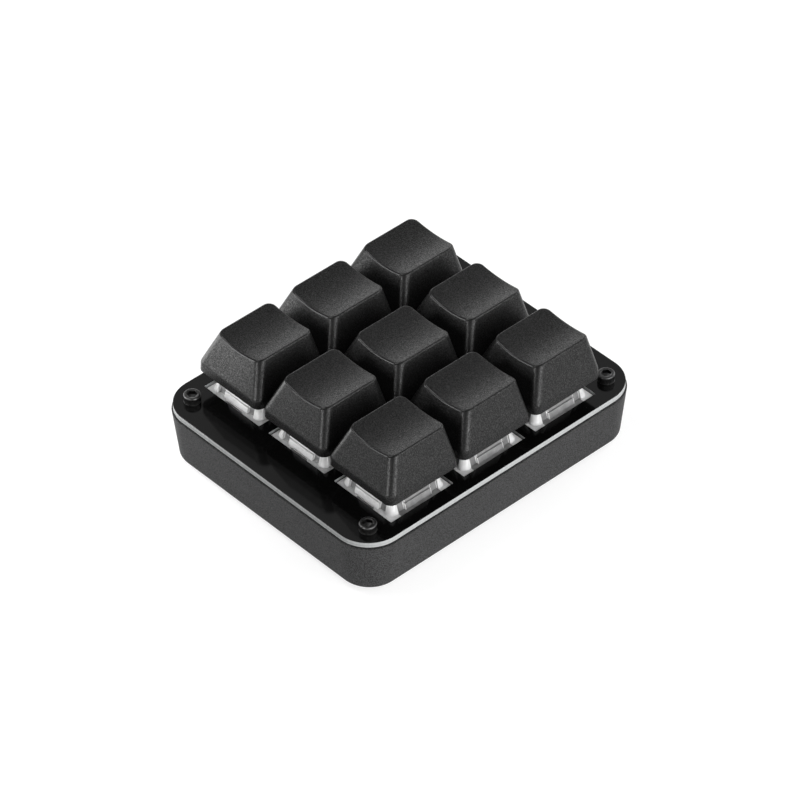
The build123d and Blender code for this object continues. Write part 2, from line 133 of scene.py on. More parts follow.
def as_object(name, mesh):
    """A mesh in the making, as an object in the scene with its faces turned outwards."""
    bmesh.ops.recalc_face_normals(mesh, faces=mesh.faces)
    data = bpy.data.meshes.new(name)
    mesh.to_mesh(data)
    mesh.free()
    piece = bpy.data.objects.new(name, data)
    bpy.context.scene.collection.objects.link(piece)
    return piece


def carve(piece, tool, operation):
    """Cuts a tool out of a piece, or joins it on, and removes the tool."""
    step = piece.modifiers.new("carve", "BOOLEAN")
    step.operation = operation
    step.solver = "EXACT"
    step.object = tool
    shaped = piece.evaluated_get(bpy.context.evaluated_depsgraph_get())
    data = bpy.data.meshes.new_from_object(shaped)
    piece.modifiers.clear()
    piece.data = data
    bpy.data.objects.remove(tool)


def fit_out(piece, material, body, slot, *replaced, sharp=30):
    """Smooth shading, finish, body and hidden CAD nodes of a finished piece. Its slot is not used."""
    piece.data.shade_smooth()
    piece.data.set_sharp_from_angle(angle=math.radians(sharp))
    even = piece.modifiers.new("flat faces stay flat", "WEIGHTED_NORMAL")
    even.keep_sharp = True
    piece.data.materials.clear()
    piece.data.materials.append(material)
    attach(piece, body)
    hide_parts(*replaced)


class Socket:
    """An output of a material's nodes. Arithmetic with it adds Math nodes."""

    def __init__(self, output):
        self.output = output

    def make(self, kind, settings=None, sockets=None, out=0):
        """Adds a node of some kind: its settings first, then its sockets' values or links."""
        node = self.output.id_data.nodes.new(kind)
        for name, value in (settings or {}).items():
            setattr(node, name, value)
        self.wire(node, sockets or {})
        return Socket(node.outputs[out])

    def wire(self, node, sockets):
        """Sets a node's sockets to values, or links them."""
        for name, value in sockets.items():
            if isinstance(value, Socket):
                self.output.id_data.links.new(value.output, node.inputs[name])
            else:
                node.inputs[name].default_value = value

    def maths(self, operation, *values):
        return self.make("ShaderNodeMath", {"operation": operation}, dict(enumerate(values)))

    def __add__(self, other):
        return self.maths("ADD", self, other)

    def __radd__(self, other):
        return self.maths("ADD", other, self)

    def __sub__(self, other):
        return self.maths("SUBTRACT", self, other)

    def __rsub__(self, other):
        return self.maths("SUBTRACT", other, self)

    def __mul__(self, other):
        return self.maths("MULTIPLY", self, other)

    def __rmul__(self, other):
        return self.maths("MULTIPLY", other, self)

    def __abs__(self):
        return self.maths("ABSOLUTE", self)

    def __gt__(self, other):
        return self.maths("GREATER_THAN", self, other)

    def __lt__(self, other):
        return self.maths("LESS_THAN", self, other)

    def larger(self, other):
        return self.maths("MAXIMUM", self, other)

    def smaller(self, other):
        return self.maths("MINIMUM", self, other)

    def between(self, low, high):
        """A level from 0 to 1, brought to lie from low to high."""
        return self * (high - low) + low

    def stretch(self, contrast):
        """A level from 0 to 1 with more contrast about its middle."""
        return self * contrast + (1 - contrast) / 2

    def ramp(self, start, end, first, last):
        """A level that runs from first to last while this one runs from start to end."""
        return self.make("ShaderNodeMapRange", {}, {"Value": self, 1: start, 2: end, 3: first, 4: last})

    def axes(self):
        """The x, y and z of a vector."""
        parts = self.make("ShaderNodeSeparateXYZ", {}, {"Vector": self}).output.node.outputs
        return [Socket(part) for part in parts]

    def noise(self, grain, detail=2.0, roughness=0.5):
        """Noise over a vector, with features about as large as a grain, in metres."""
        sockets = {"Vector": self, "Scale": 1 / grain, "Detail": detail, "Roughness": roughness}
        return self.make("ShaderNodeTexNoise", {}, sockets)

    def tint(self, first, second):
        """A colour between two colours by this level. Each is three numbers or a socket."""
        pair = [colour if isinstance(colour, Socket) else (*colour, 1) for colour in (first, second)]
        sockets = {0: self, 6: pair[0], 7: pair[1]}
        return self.make("ShaderNodeMix", {"data_type": "RGBA"}, sockets, out=2)

    def bump(self, depth):
        """A normal for this height field at some depth, in metres."""
        return self.make("ShaderNodeBump", {}, {"Strength": 1.0, "Distance": depth, "Height": self})


def start_finish(name):
    """A new material, its shader, and the object's own coordinates to build on."""
    material = bpy.data.materials.new(name)
    material.use_nodes = True
    tree = material.node_tree
    place = Socket(tree.nodes.new("ShaderNodeTexCoord").outputs["Object"])
    return material, tree.nodes["Principled BSDF"], place


def moulded_grain(place, grain, detail, roughness):
    """The fine pits that a mould leaves, faint clouds in the plastic, and a level that blends the two."""
    pit_contrast = 2
    pit_share = 0.65
    cloud_size = 0.009
    pits = place.noise(grain, detail, roughness).stretch(pit_contrast)
    clouds = place.noise(cloud_size)
    return pits, clouds, pits * pit_share + clouds * (1 - pit_share)


def grained_plastic(name, dark, pale, grain, depth, smooth, rough, gloss=0.5):
    """Moulded plastic with an even fine grain and a faint cloudiness."""
    material, shader, place = start_finish(name)
    speckle_contrast = 3
    cloud_contrast = 0.4
    pits, clouds, level = moulded_grain(place, grain, detail=2.0, roughness=0.6)
    speckle = pits.stretch(speckle_contrast) + clouds * cloud_contrast - cloud_contrast / 2
    sockets = {
        "Base Color": speckle.tint(dark, pale),
        "Roughness": level.between(smooth, rough),
        "Specular IOR Level": gloss,
        "Normal": pits.bump(depth),
    }
    place.wire(shader, sockets)
    return material


def corner_places(low, high, radius):
    """The middles of four round pieces that fill the corners of a box."""
    return [(x, y) for x in (low.x + radius, high.x - radius) for y in (low.y + radius, high.y - radius)]


case_low, case_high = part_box("case")
plate_low, plate_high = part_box("switch_plate")
usb_low, usb_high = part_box("usb_shell")
insert_low, insert_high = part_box("threaded_inserts")
screw_places = corner_places(insert_low, insert_high, insert_radius)
case_height = case_high.z - case_low.z
floor_top = case_low.z + case_floor
shelf_inset = case_rim_wall + case_shelf
plan = loop_plan(corner_steps, 1)


def case_ring(inset, height):
    low = (case_low.x + inset, case_low.y + inset)
    high = (case_high.x - inset, case_high.y - inset)
    return loop_points(plan, low, high, case_corner_radius - inset, height)


rings = []
for sine, cosine in quarter_turn(round_steps):
    height = case_bottom_round * (1 - cosine)
    lean = case_draft * (1 - height / case_height)
    rings.append(case_ring(lean + case_bottom_round * (1 - sine), case_low.z + height))
for sine, cosine in quarter_turn(round_steps):
    rings.append(case_ring(case_rim_round * (1 - cosine), case_high.z - case_rim_round * (1 - sine)))
for sine, cosine in quarter_turn(round_steps):
    inset = case_rim_wall - case_rim_round * (1 - sine)
    rings.append(case_ring(inset, case_high.z - case_rim_round * (1 - cosine)))
rings.append(case_ring(case_rim_wall, plate_low.z))
rings.append(case_ring(shelf_inset, plate_low.z))
rings.append(case_ring(shelf_inset, floor_top))
mesh = bmesh.new()
skin(mesh, rings)
case = as_object("case_shell", mesh)

boss_profile = ((boss_radius, floor_top - case_floor / 2), (boss_radius, plate_low.z))
bore_profile = ((boss_bore_radius, boss_bore_bottom), (boss_bore_radius, plate_high.z))
mesh = bmesh.new()
for place in screw_places:
    turned(mesh, boss_profile, place, bore_steps)
carve(case, as_object("bosses", mesh), "UNION")
mesh = bmesh.new()
for place in screw_places:
    turned(mesh, bore_profile, place, bore_steps)
slot_low = (usb_low.x - usb_slot_clearance, usb_low.z - usb_slot_clearance)
slot_high = (usb_high.x + usb_slot_clearance, usb_high.z + usb_slot_clearance)
slot_radius = (slot_high[1] - slot_low[1]) / 2 - usb_slot_end_flat
slot = loop_points(loop_plan(slot_corner_steps, 1), slot_low, slot_high, slot_radius, 0)
slot_depths = (case_high.y - shelf_inset - case_rim_wall / 2, case_high.y + case_rim_wall)
skin(mesh, [[(x, depth, z) for x, z, _ in slot] for depth in slot_depths])
carve(case, as_object("case_cuts", mesh), "DIFFERENCE")
case_plastic = grained_plastic(
    "case_plastic",
    dark=(0.027, 0.027, 0.027),
    pale=(0.070, 0.070, 0.071),
    grain=0.0002,
    depth=0.00002,
    smooth=0.38,
    rough=0.60,
    gloss=0.03,
)
fit_out(case, case_plastic, "base", "case_plastic", "case")


# Rubber feet: round self-adhesive bumpers under the four corners, moulded with a soft edge.
# They stay matte black and pick up a little dust.
foot_radius = 0.004
foot_round = 0.00025
foot_steps = 64
foot_low, foot_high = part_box("rubber_feet")
foot_profile = []
for sine, cosine in quarter_turn(round_steps):
    foot_profile.append((foot_radius - foot_round * (1 - sine), foot_low.z + foot_round * (1 - cosine)))
foot_profile.append((foot_radius, foot_high.z))
mesh = bmesh.new()
for place in corner_places(foot_low, foot_high, foot_radius):
    turned(mesh, foot_profile, place, foot_steps)
feet = as_object("stick_on_feet", mesh)
foot_rubber = grained_plastic(
    "foot_rubber",
    dark=(0.018, 0.018, 0.018),
    pale=(0.045, 0.044, 0.042),
    grain=0.0004,
    depth=0.00002,
    smooth=0.75,
    rough=0.9,
)
fit_out(feet, foot_rubber, "base", "foot_rubber", "rubber_feet")


# Threaded inserts: turned brass sleeves pressed into the case's bosses, with a fine knurl outside.
# They stay hidden under the switch plate.
def turned_brass(name, line_pitch):
    """Bare brass, faintly stained, with fine slanting lines."""
    material, shader, place = start_finish(name)
    stain_size = 0.002
    line_scale = 0.3
    line_depth = 0.00003
    stain = place.noise(stain_size, detail=4.0)
    lines = place.make(
        "ShaderNodeTexWave",
        {"wave_type": "BANDS", "bands_direction": "DIAGONAL"},
        {"Vector": place, "Scale": line_scale / line_pitch, "Distortion": 0.0},
        out=1,
    )
    sockets = {
        "Base Color": stain.tint((0.60, 0.42, 0.16), (0.78, 0.60, 0.29)),
        "Metallic": 1.0,
        "Roughness": stain.between(0.2, 0.4),
        "Normal": lines.bump(line_depth),
    }
    place.wire(shader, sockets)
    return material


def finish_node(name, material):
    """A new finish on a CAD piece whose shape is right as it is."""
    nodes[name].data.materials.clear()
    nodes[name].data.materials.append(material)


finish_node("threaded_inserts", turned_brass("insert_brass", line_pitch=0.0004))


# Circuit board: glass-fibre laminate with a black solder mask over copper tracks.
# The switches hold it: it hangs on their pins and locating posts.
def solder_mask(name):
    """Glossy black lacquer, a little paler where it runs over the tracks."""
    material, shader, place = start_finish(name)
    track_depth = 0.00003
    track_share = 0.7
    cloud_size = 0.004
    tracks = place.make(
        "ShaderNodeTexBrick",
        {"offset": 0.5},
        {"Vector": place, "Scale": 160.0, "Mortar Size": 0.03, "Mortar Smooth": 0.2},
        out=1,
    )
    clouds = place.noise(cloud_size)
    level = tracks * track_share + clouds * (1 - track_share)
    sockets = {
        "Base Color": level.tint((0.012, 0.013, 0.015), (0.035, 0.038, 0.042)),
        "Roughness": clouds.between(0.3, 0.45),
        "Normal": tracks.bump(track_depth),
    }
    place.wire(shader, sockets)
    return material


finish_node("circuit_board", solder_mask("board_laminate"))


# Microcontroller: a flat chip moulded in dull black resin and soldered under the board.
# It reads the nine switches, and nothing of it shows outside the case.
chip_resin = grained_plastic(
    "chip_resin",
    dark=(0.016, 0.016, 0.016),
    pale=(0.036, 0.036, 0.037),
    grain=0.0003,
    depth=0.00001,
    smooth=0.5,
    rough=0.65,
)
finish_node("microcontroller", chip_resin)


# USB socket: a drawn and plated steel shell round a black plastic insert with a contact tongue.
# It is soldered to the board's rear tab and lies just inside the case's slot.
def drawn_steel(name, dark, pale, roughness):
    """Plated steel with fine streaks along the way it was drawn."""
    material, shader, place = start_finish(name)
    streak_width = 0.00025
    streak_depth = 0.000004
    streak_roughness = 0.18
    drawn = place.make("ShaderNodeMapping", {}, {"Vector": place, "Scale": (1.0, 0.08, 1.0)})
    streaks = drawn.noise(streak_width, detail=3.0)
    sockets = {
        "Base Color": streaks.tint(dark, pale),
        "Metallic": 1.0,
        "Roughness": streaks * streak_roughness + roughness,
        "Normal": streaks.bump(streak_depth),
    }
    place.wire(shader, sockets)
    return material


def tongue_plastic(name):
    """Black plastic with rows of gilt contacts along the tongue."""
    material, shader, place = start_finish(name)
    contact_pitch = 0.0005
    contact_scale = 0.314
    contact_edge = 0.55
    stripes = place.make(
        "ShaderNodeTexWave",
        {"wave_type": "BANDS", "bands_direction": "X"},
        {"Vector": place, "Scale": contact_scale / contact_pitch, "Distortion": 0.0},
        out=1,
    )
    gilt = stripes > contact_edge
    sockets = {
        "Base Color": gilt.tint((0.02, 0.02, 0.02), (0.72, 0.52, 0.2)),
        "Metallic": gilt,
        "Roughness": gilt.between(0.5, 0.25),
    }
    place.wire(shader, sockets)
    return material


socket_steel = drawn_steel("socket_steel", dark=(0.48, 0.48, 0.49), pale=(0.68, 0.68, 0.69), roughness=0.22)
finish_node("usb_shell", socket_steel)
finish_node("usb_tongue", tongue_plastic("socket_plastic"))


# Contact leaves: stamped strips of sprung brass, a fixed and a moving one in each switch.
# Their pins go through the board and are soldered to it.
contact_brass = turned_brass("contact_brass", line_pitch=0.002)
finish_node("fixed_contacts", contact_brass)
finish_node("moving_contacts", contact_brass)


# Switch plate: steel sheet with square holes and smooth black paint, laid on the case's shelf.
# The switches snap into it and it shows only in the narrow gaps round them.
plate_paint = grained_plastic(
    "plate_steel",
    dark=(0.008, 0.008, 0.008),
    pale=(0.016, 0.016, 0.017),
    grain=0.0006,
    depth=0.000004,
    smooth=0.25,
    rough=0.32,
)
finish_node("switch_plate", plate_paint)


# Switch housings: a lower tub with a flange that rests on the plate, and a tapered hood clipped over it,
# both moulded in clear plastic. Thick edges and corner columns gather light and look milky.
housing_edge = 0.00009
window_start = 0.0034
window_end = 0.0052
painted_highlight_reach = 0.00014
flange_margin = 0.00005
flange_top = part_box("housing_base_middle_centre")[1].z + flange_margin
key_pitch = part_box("keycap_middle_right")[0].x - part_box("keycap_middle_centre")[0].x


def softened(name, source, width):
    """A copy of a CAD piece with its flat faces joined up and every sharp edge rounded a little."""
    same_place = 1e-7
    flat = math.radians(1)
    sharp = math.radians(32)
    mesh = bmesh.new()
    mesh.from_mesh(nodes[source].data)
    bmesh.ops.remove_doubles(mesh, verts=mesh.verts, dist=same_place)
    bmesh.ops.dissolve_limit(mesh, angle_limit=flat, verts=mesh.verts, edges=mesh.edges)
    edges = [edge for edge in mesh.edges if edge.is_manifold and edge.calc_face_angle() > sharp]
    rounding = {"offset": width, "segments": 2, "profile": 0.5, "affect": "EDGES", "clamp_overlap": True}
    bmesh.ops.bevel(mesh, geom=edges, **rounding)
    return as_object(name, mesh)


def clear_plastic(name):
    """Clear plastic: milky where it is thick, in the columns, panels and flange, with painted highlight
    lines along the windows' edges on the hood. It is darker in the thin windows, where the dark slider
    shows, and the sides that face along x carry a painted shade."""
    material, shader, place = start_finish(name)
    flow_size = 0.0012
    flow_depth = 0.00008
    flow = place.noise(flow_size, detail=3.0)
    x, y, z = place.axes()
    from_middle_x = abs(x.maths("WRAP", x, key_pitch / 2, -key_pitch / 2))
    from_middle_y = abs(y.maths("WRAP", y, key_pitch / 2, -key_pitch / 2))
    along = from_middle_x.smaller(from_middle_y)
    hood = z > flange_top
    # The sides that face along x, between the corner columns: they take a painted shade, and their window
    # span reaches down over the flange.
    side = (from_middle_x > from_middle_y) * (along < window_end)
    window = (along > window_start) * (along < window_end) * side.larger(hood)
    # Painted highlight: thin bright lines along both edges of each window, used on the hood.
    inner_painted_highlight = abs(along - window_start) < painted_highlight_reach
    outer_painted_highlight = abs(along - window_end) < painted_highlight_reach
    rim = inner_painted_highlight.larger(outer_painted_highlight)
    milky = flow.tint((0.62, 0.62, 0.62), (1.0, 1.0, 1.0))
    # Painted shade: a smoky grey for those sides, in place of the milky tone.
    painted_shade_tone = flow.tint((0.15, 0.15, 0.15), (0.36, 0.36, 0.36))
    thin = flow.tint((0.10, 0.10, 0.10), (0.36, 0.36, 0.36))
    milky_with_painted_shade = side.tint(milky, painted_shade_tone)
    body = (window * (1 - rim)).tint(milky_with_painted_shade, thin)
    sockets = {
        # The rim mask on the hood paints the highlight lines in the milky colour.
        "Base Color": (rim * hood).tint(body, milky),
        "Roughness": flow.between(0.10, 0.20),
        "Transmission Weight": 0.2,
        "IOR": 1.5,
        "Normal": flow.bump(flow_depth),
    }
    place.wire(shader, sockets)
    return material


clear_housing = clear_plastic("clear_housing")
for key in key_names:
    for part in ("housing_base", "housing_top"):
        housing = softened(f"clear_{part}_{key}", f"{part}_{key}", housing_edge)
        fit_out(housing, clear_housing, "base", "clear_housing", f"{part}_{key}")


# Stems: smooth sliders moulded in dark plastic, with a cross on top that carries the keycap.
# They show a little through the clear housings.
stem_plastic = grained_plastic(
    "stem_plastic",
    dark=(0.060, 0.060, 0.062),
    pale=(0.100, 0.100, 0.104),
    grain=0.0004,
    depth=0.000006,
    smooth=0.3,
    rough=0.4,
)
for key in key_names:
    finish_node(f"stem_{key}", stem_plastic)


# Springs: coiled steel wire between the housing's floor and the stem's pocket, with closed ends.
# In the real switch each shortens as its key goes down.
wire_radius = 0.00018
wire_sides = 8
spring_turns = 10
spring_end_turns = 1
coil_steps = 20
coil_sharp = 60
spring_steel = drawn_steel("spring_steel", dark=(0.42, 0.42, 0.43), pale=(0.62, 0.62, 0.63), roughness=0.25)


def coil_rings(low, high):
    """Rings of the wire's round section along a helix with flat ends."""
    wire_width = 2 * wire_radius
    radius = (high.x - low.x) / 2 - wire_radius
    centre = (low + high) / 2
    bottom = low.z + wire_radius
    rise = high.z - low.z - wire_width - 2 * wire_width * spring_end_turns
    section = np.linspace(0, 2 * math.pi, wire_sides, endpoint=False)
    out = radius + wire_radius * np.cos(section)
    rings = []
    for step in range(spring_turns * coil_steps + 1):
        turns = step / coil_steps
        angle = 2 * math.pi * turns
        open_share = (turns - spring_end_turns) / (spring_turns - 2 * spring_end_turns)
        lift = rise * min(max(open_share, 0), 1)
        lift += wire_width * min(turns, spring_end_turns)
        lift += wire_width * max(turns - spring_turns + spring_end_turns, 0)
        x = centre.x + out * math.cos(angle)
        y = centre.y + out * math.sin(angle)
        rings.append(np.column_stack([x, y, bottom + lift + wire_radius * np.sin(section)]))
    return rings


for key in key_names:
    low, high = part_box(f"spring_{key}")
    mesh = bmesh.new()
    skin(mesh, coil_rings(low, high))
    coil = as_object(f"coil_{key}", mesh)
    fit_out(coil, spring_steel, "base", "spring_steel", f"spring_{key}", sharp=coil_sharp)
    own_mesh(coil)


# Cover: a clear acrylic sheet with a square opening round each switch, clamped by the corner screws. It lies
# on the black plate, so its polished faces look black. Its laser-cut edges are pale: the long sides are
# lighter with painted light, and the front and back edges are darker with painted shade.
cover_corner_radius = 0.0074
cover_bevel = 0.00004
opening_half = 0.0163 / 2
opening_round = 0.0002
opening_margin = 0.0002
opening_corner_steps = 6
screw_hole_radius = 0.00115
cover_low, cover_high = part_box("cover")
opening_reach = key_pitch + opening_half + opening_margin
cut_heights = (cover_low.z - cover_bevel, cover_high.z + cover_bevel)


def cover_ring(inset, height):
    low = (cover_low.x + inset, cover_low.y + inset)
    high = (cover_high.x - inset, cover_high.y - inset)
    return loop_points(plan, low, high, cover_corner_radius - inset, height)


mesh = bmesh.new()
cover_rings = [
    cover_ring(cover_bevel, cover_low.z),
    cover_ring(0, cover_low.z + cover_bevel),
    cover_ring(0, cover_high.z - cover_bevel),
    cover_ring(cover_bevel, cover_high.z),
]
skin(mesh, cover_rings)
cover = as_object("acrylic_cover", mesh)
opening_plan = loop_plan(opening_corner_steps, 1)
mesh = bmesh.new()
for key in key_names:
    low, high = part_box(f"keycap_{key}")
    centre = (low + high) / 2
    opening_low = (centre.x - opening_half, centre.y - opening_half)
    opening_high = (centre.x + opening_half, centre.y + opening_half)
    corners = (opening_low, opening_high)
    skin(mesh, [loop_points(opening_plan, *corners, opening_round, z) for z in cut_heights])
for place in screw_places:
    turned(mesh, [(screw_hole_radius, z) for z in cut_heights], place, bore_steps)
carve(cover, as_object("cover_cuts", mesh), "DIFFERENCE")


def normal_of(place):
    """The surface's own normal, in the object's axes."""
    return place.make("ShaderNodeNewGeometry", {}, {}, out=1)


def cut_acrylic(name):
    """Polished faces that look black, and pale edges with the fine lines that the laser leaves across them.
    Edges that face the sides are lighter with painted light, and those that face front and back are darker
    with painted shade. In the openings the lower part of the cut is painted dark, as painted shade."""
    material, shader, place = start_finish(name)
    streak_width = 0.0004
    haze_size = 0.006
    haze_roughness = 0.03
    painted_shade_top = cover_low.z + 0.00045
    cut_line_low = cover_low.z + 0.0004
    cut_line_high = cut_line_low + 0.00018
    sideways, _, upright = normal_of(place).axes()
    x, y, z = place.axes()
    in_opening = (abs(x) < opening_reach) * (abs(y) < opening_reach)
    flat = abs(upright) > 0.5
    # Painted shade: in the openings the lower part of the cut takes the black face colour.
    face = flat.larger(in_opening * (z < painted_shade_top))
    across = place.make("ShaderNodeMapping", {}, {"Vector": place, "Scale": (1.0, 1.0, 0.1)})
    cut_line = (z > cut_line_low) * (z < cut_line_high)
    streaks = across.noise(streak_width, detail=3.0) * (1 - cut_line)
    haze = place.noise(haze_size, detail=3.0)
    # Painted light and shade: edges that face the sides get the paler tones, and edges that face front and
    # back get the darker ones.
    edge_in_painted_shade = streaks.tint((0.16, 0.165, 0.165), (0.36, 0.365, 0.365))
    edge_in_painted_light = streaks.tint((0.37, 0.38, 0.38), (0.50, 0.51, 0.51))
    edge_colour = abs(sideways).tint(edge_in_painted_shade, edge_in_painted_light)
    face_and_painted_shade_colour = haze.tint((0.0015, 0.0015, 0.0015), (0.0035, 0.0035, 0.0035))
    sockets = {
        "Base Color": face.tint(edge_colour, face_and_painted_shade_colour),
        "Roughness": face.between(0.42, 0.08) + haze * haze_roughness,
        "Specular IOR Level": 0.32,
    }
    place.wire(shader, sockets)
    return material


fit_out(cover, cut_acrylic("cover_acrylic"), "base", "clear_acrylic", "cover")


# Corner screws: socket-head cap screws in black-oxide steel, with knurled heads. They go through the cover
# and the plate into the brass inserts, and their heads stand on the cover.
screw_head_radius = 0.00175
screw_head_round = 0.0003
screw_shank_radius = 0.001
screw_point = 0.0002
screw_socket_apothem = 0.00095
screw_socket_chamfer = 0.00008
screw_socket_depth = 0.0009
screw_socket_cone = screw_socket_apothem * 0.4
screw_socket_tip = screw_socket_apothem * 0.1
screw_knurls = 40
knurl_depth = 0.00003
knurl_margin = 0.0002
screw_turns = (12, 47, 28, 5)
screw_steps = 240
screw_low, screw_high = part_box("corner_screws")
head_bottom = cover_high.z
knurl_start = head_bottom + knurl_margin
knurl_end = screw_high.z - screw_head_round - knurl_margin
socket_bottom = screw_high.z - screw_socket_depth
screw_profile = [
    (screw_shank_radius - screw_point, screw_low.z),
    (screw_shank_radius, screw_low.z + screw_point),
    (screw_shank_radius, head_bottom),
    (screw_head_radius, head_bottom),
    (screw_head_radius, knurl_start),
    (screw_head_radius, knurl_start + knurl_depth),
    (screw_head_radius, knurl_end - knurl_depth),
    (screw_head_radius, knurl_end),
]
knurled_rows = (5, 6)
for sine, cosine in quarter_turn(round_steps):
    radius = screw_head_radius - screw_head_round * (1 - cosine)
    screw_profile.append((radius, screw_high.z - screw_head_round * (1 - sine)))
hexagon_rows = (len(screw_profile) + 1, len(screw_profile) + 2)
screw_profile += [
    (screw_socket_apothem / math.cos(math.radians(30)) + screw_socket_chamfer, screw_high.z),
    (screw_socket_apothem, screw_high.z - screw_socket_chamfer),
    (screw_socket_apothem, socket_bottom),
    (screw_socket_tip, socket_bottom - screw_socket_cone),
]


def screw_shape(turn):
    """How the rings of a screw, tightened to some turn, depart from circles."""

    def radii(row, radius, angles):
        """Knurled on the head's side, six-sided in the socket."""
        if row in knurled_rows:
            return radius - knurl_depth * (1 + np.cos(screw_knurls * angles))
        if row in hexagon_rows:
            sixth = math.pi / 3
            return radius / np.cos((angles + math.radians(turn)) % sixth - sixth / 2)
        return np.full(len(angles), radius)

    return radii


mesh = bmesh.new()
for place, turn in zip(screw_places, screw_turns):
    turned(mesh, screw_profile, place, screw_steps, screw_shape(turn))
screws = as_object("socket_head_screws", mesh)


def black_oxide(name):
    """Dark steel with a little wear."""
    material, shader, place = start_finish(name)
    wear_size = 0.0007
    wear = place.noise(wear_size, detail=4.0, roughness=0.6)
    sockets = {
        "Base Color": wear.tint((0.035, 0.035, 0.035), (0.09, 0.09, 0.09)),
        "Metallic": 1.0,
        "Roughness": wear.between(0.2, 0.4),
    }
    place.wire(shader, sockets)
    return material


fit_out(screws, black_oxide("screw_steel"), "base", "screw_steel", "corner_screws")


# Keycaps: hollow caps moulded in dark plastic with a fine grain. The walls lean in above an upright skirt,
# the top is dished across, and a post with a cross slot pushes onto the stem.
cap_height = 0.00919
cap_skirt = 0.002
cap_skirt_draft = 0.0001
cap_kink = 0.0003
cap_kink_steps = 9
cap_side_inset = 0.00265
cap_front_inset = 0.0032
cap_back_inset = 0.00085
cap_corner_radius = 0.0017
cap_inner_radius = cap_corner_radius / 2
cap_corner_steps = 10
cap_side_steps = 16
cap_dish_radius = 0.026
cap_edge_reach = 0.00036
cap_rim_round = 0.00012
cap_rim_steps = 3
cap_wall = 0.0013
cap_ceiling = 0.0071
cap_post_radius = 0.00275
cap_post_bottom = 0.0009
cap_sharp = 40
cross_half_length = 0.00207
cross_half_bar = 0.00062
cross_depth = 0.0034
dish_passes = 8
fifths = np.linspace(0.2, 1, 5)
top_shares = (0.9, 0.75, 0.6, 0.45, 0.3, 0.15, 0.02)
cap_plan = loop_plan(cap_corner_steps, cap_side_steps)
cap_low, cap_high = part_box("keycap_middle_centre")
cap_half = (cap_high.x - cap_low.x) / 2
cap_half_top = cap_half - cap_skirt_draft - cap_side_inset
cap_dish_sag = cap_dish_radius - math.sqrt(cap_dish_radius**2 - cap_half_top**2)


def cap_loop(height, inset=0.0, radius=cap_corner_radius):
    """The cap's outline at heights above its rim, drawn in by an inset. The kink over the skirt is soft."""
    height = np.broadcast_to(height, cap_plan[0].shape)
    over = height - cap_skirt
    soft = np.where(np.abs(over) < cap_kink, (over + cap_kink) ** 2 / (4 * cap_kink), np.maximum(over, 0))
    lean = soft / (cap_height - cap_skirt)
    half = cap_half - cap_skirt_draft * np.clip(height / cap_skirt, 0, 1) - inset
    side = half - cap_side_inset * lean
    low = (-side, -half + cap_front_inset * lean)
    high = (side, half - cap_back_inset * lean)
    return loop_points(cap_plan, low, high, radius, height)


def dish(points):
    """The dished top's height above the rim, over plan points."""
    return cap_height - cap_dish_sag + cap_dish_radius - np.sqrt(cap_dish_radius**2 - points[:, 0] ** 2)


edge_height = np.full(cap_plan.shape[1], cap_height)
for _ in range(dish_passes):
    edge_height = dish(cap_loop(edge_height))
cap_rings = [cap_loop(height, cap_wall, cap_inner_radius) for height in (cap_ceiling, cap_skirt, 0)]
for sine, cosine in quarter_turn(cap_rim_steps):
    cap_rings.append(cap_loop(cap_rim_round * (1 - cosine), cap_rim_round * (1 - sine)))
wall_start = cap_skirt + cap_kink
wall_end = edge_height - cap_edge_reach
for height in np.linspace(cap_skirt - cap_kink, wall_start, cap_kink_steps):
    cap_rings.append(cap_loop(height))
for share in fifths:
    cap_rings.append(cap_loop(wall_start + (wall_end - wall_start) * share))
edge_start = cap_rings[-1]
edge_crest = cap_loop(edge_height)
edge_end = cap_loop(edge_height, cap_edge_reach, cap_corner_radius - cap_edge_reach)
edge_end[:, 2] = dish(edge_end)
for share in fifths:
    start_weight = (1 - share) ** 2
    crest_weight = 2 * share * (1 - share)
    cap_rings.append(start_weight * edge_start + crest_weight * edge_crest + share**2 * edge_end)
top_centre = edge_end.mean(axis=0)
for share in top_shares:
    ring = top_centre + (edge_end - top_centre) * share
    ring[:, 2] = dish(ring)
    cap_rings.append(ring)


def cap_finish(name):
    """Near-black plastic: grained faces with glinting specks, and a smooth line along the front edge
    of the top, which the surface's own slope picks out."""
    material, shader, place = start_finish(name)
    grain = 0.00018
    grain_depth = 0.00004
    glint_size = 0.00024
    glint_contrast = 5
    glint_strength = 0.40
    edge_sheen = 0.56
    edge_roughness = 0.2
    pits, _, level = moulded_grain(place, grain, detail=1.0, roughness=0.5)
    specks = place.noise(glint_size, detail=1.0).stretch(glint_contrast).larger(0.0)
    _, y, z = normal_of(place).axes()
    over_wall = z.ramp(0.44, 0.56, 0.0, 1.0)
    below_top = z.ramp(0.93, 0.965, 1.0, 0.0)
    facing = y.ramp(-0.30, -0.12, 1.0, 0.0)
    edge = over_wall * below_top * facing
    face = 1 - edge
    sockets = {
        "Base Color": level.tint((0.001, 0.001, 0.001), (0.008, 0.008, 0.008)),
        "Roughness": level.between(0.22, 0.44) * face + edge * edge_roughness,
        "Specular IOR Level": 0.14,
        "Coat Weight": (specks * face + edge * edge_sheen) * glint_strength,
        "Coat Roughness": 0.3,
        "Normal": (pits * face).bump(grain_depth),
    }
    place.wire(shader, sockets)
    return material


